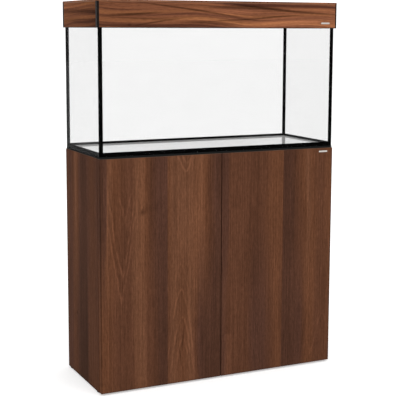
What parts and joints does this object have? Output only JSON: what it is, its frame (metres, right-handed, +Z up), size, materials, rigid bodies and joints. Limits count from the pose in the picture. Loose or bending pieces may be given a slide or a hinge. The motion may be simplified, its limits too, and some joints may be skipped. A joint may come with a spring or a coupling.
{
  "type": "aquarium stand cabinet",
  "caption": "Dark walnut stand cabinet with push-open doors, carrying a matching glass tank and a lift-off hood with a feeding flap.",
  "frame": {"origin": "floor level, under the middle of the set", "axes": "+X to the right, +Y to the back (the doors face -Y), +Z up"},
  "size_m": [0.808, 0.318, 1.18],
  "materials": {
    "cabinet_wood": "dark walnut laminate, satin, vertical grain",
    "hood_wood": "walnut laminate, satin, horizontal grain",
    "back_board": "dark laminated fibreboard",
    "clear_glass": "clear float glass",
    "black_silicone": "black silicone",
    "foam_mat": "grey closed-cell foam",
    "black_plastic": "satin black",
    "dark_profile": "satin dark brown-black",
    "grey_plastic": "matt grey",
    "white_metal": "white powder coat",
    "nickel_steel": "nickel plated",
    "zinc_screws": "zinc plated",
    "badge_metal": "brushed",
    "lamp_glass": "white coated lamp glass",
    "glide_plastic": "hard plastic"
  },
  "bodies": {
    "cabinet": {"side_panel_left": "cabinet_wood", "side_panel_right": "cabinet_wood", "bottom_panel": "cabinet_wood", "top_panel": "cabinet_wood", "back_panel": "back_board", "center_divider": "cabinet_wood", "shelf": "cabinet_wood", "shelf_pins": "nickel_steel", "glide_feet": "glide_plastic", "cam_locks": "nickel_steel", "back_panel_screws": "zinc_screws", "hose_grommet_left": "black_plastic", "hose_grommet_right": "black_plastic", "support_mat": "foam_mat", "hinge_plates_left": "nickel_steel", "hinge_plates_right": "nickel_steel", "hinge_arms_left": "nickel_steel", "hinge_arms_right": "nickel_steel", "hinge_plate_screws": "zinc_screws", "push_latch_housings": "grey_plastic"},
    "left_door": {"door_left": "cabinet_wood", "hinge_cups_left": "nickel_steel", "hinge_pins_left": "nickel_steel", "cup_screws_left": "zinc_screws", "strike_plate_left": "nickel_steel"},
    "right_door": {"door_right": "cabinet_wood", "hinge_cups_right": "nickel_steel", "hinge_pins_right": "nickel_steel", "cup_screws_right": "zinc_screws", "strike_plate_right": "nickel_steel", "door_badge": "badge_metal"},
    "left_latch": {"latch_plunger_left": "grey_plastic"},
    "right_latch": {"latch_plunger_right": "grey_plastic"},
    "tank": {"tank_bottom_pane": "clear_glass", "tank_front_pane": "clear_glass", "tank_back_pane": "clear_glass", "tank_left_pane": "clear_glass", "tank_right_pane": "clear_glass", "silicone_seams": "black_silicone", "brace_bar_front": "clear_glass", "brace_bar_back": "clear_glass"},
    "hood": {"hood_front_panel": "hood_wood", "hood_badge": "badge_metal", "hood_back_panels": "hood_wood", "hood_left_panel": "hood_wood", "hood_right_panel": "hood_wood", "hood_corner_profiles": "dark_profile", "hood_edge_trims": "dark_profile", "rim_ledges": "black_plastic", "hood_rear_top": "hood_wood", "flap_hinge_leaves": "nickel_steel", "light_housing": "white_metal", "light_tube": "lamp_glass", "light_end_caps": "grey_plastic", "light_brackets": "grey_plastic", "cable_gland": "black_plastic"},
    "flap": {"feeding_flap": "hood_wood", "flap_hinge_wings": "nickel_steel", "flap_hinge_pins": "nickel_steel", "flap_pull_ring": "black_plastic"}
  },
  "joints": [
    {"name": "left_door_hinge", "type": "hinge", "parent": "cabinet", "child": "left_door", "pos_m": [-0.393, -0.147, 0.359], "axis": [0, 0, -1], "range_deg": [0, 95]},
    {"name": "right_door_hinge", "type": "hinge", "parent": "cabinet", "child": "right_door", "pos_m": [0.393, -0.147, 0.359], "axis": [0, 0, 1], "range_deg": [0, 95]},
    {"name": "left_latch_push", "type": "slide", "parent": "cabinet", "child": "left_latch", "axis": [0, 1, 0], "range_m": [0, 0.0025], "stiffness_N_per_m": 400},
    {"name": "right_latch_push", "type": "slide", "parent": "cabinet", "child": "right_latch", "axis": [0, 1, 0], "range_m": [0, 0.0025], "stiffness_N_per_m": 400},
    {"name": "tank_lift", "type": "slide", "parent": "cabinet", "child": "tank", "axis": [0, 0, 1], "range_m": [0, 0.15]},
    {"name": "hood_lift", "type": "slide", "parent": "tank", "child": "hood", "axis": [0, 0, 1], "range_m": [0, 0.15]},
    {"name": "flap_hinge", "type": "hinge", "parent": "hood", "child": "flap", "pos_m": [0, 0.01, 1.178], "axis": [-1, 0, 0], "range_deg": [0, 95]}
  ]
}
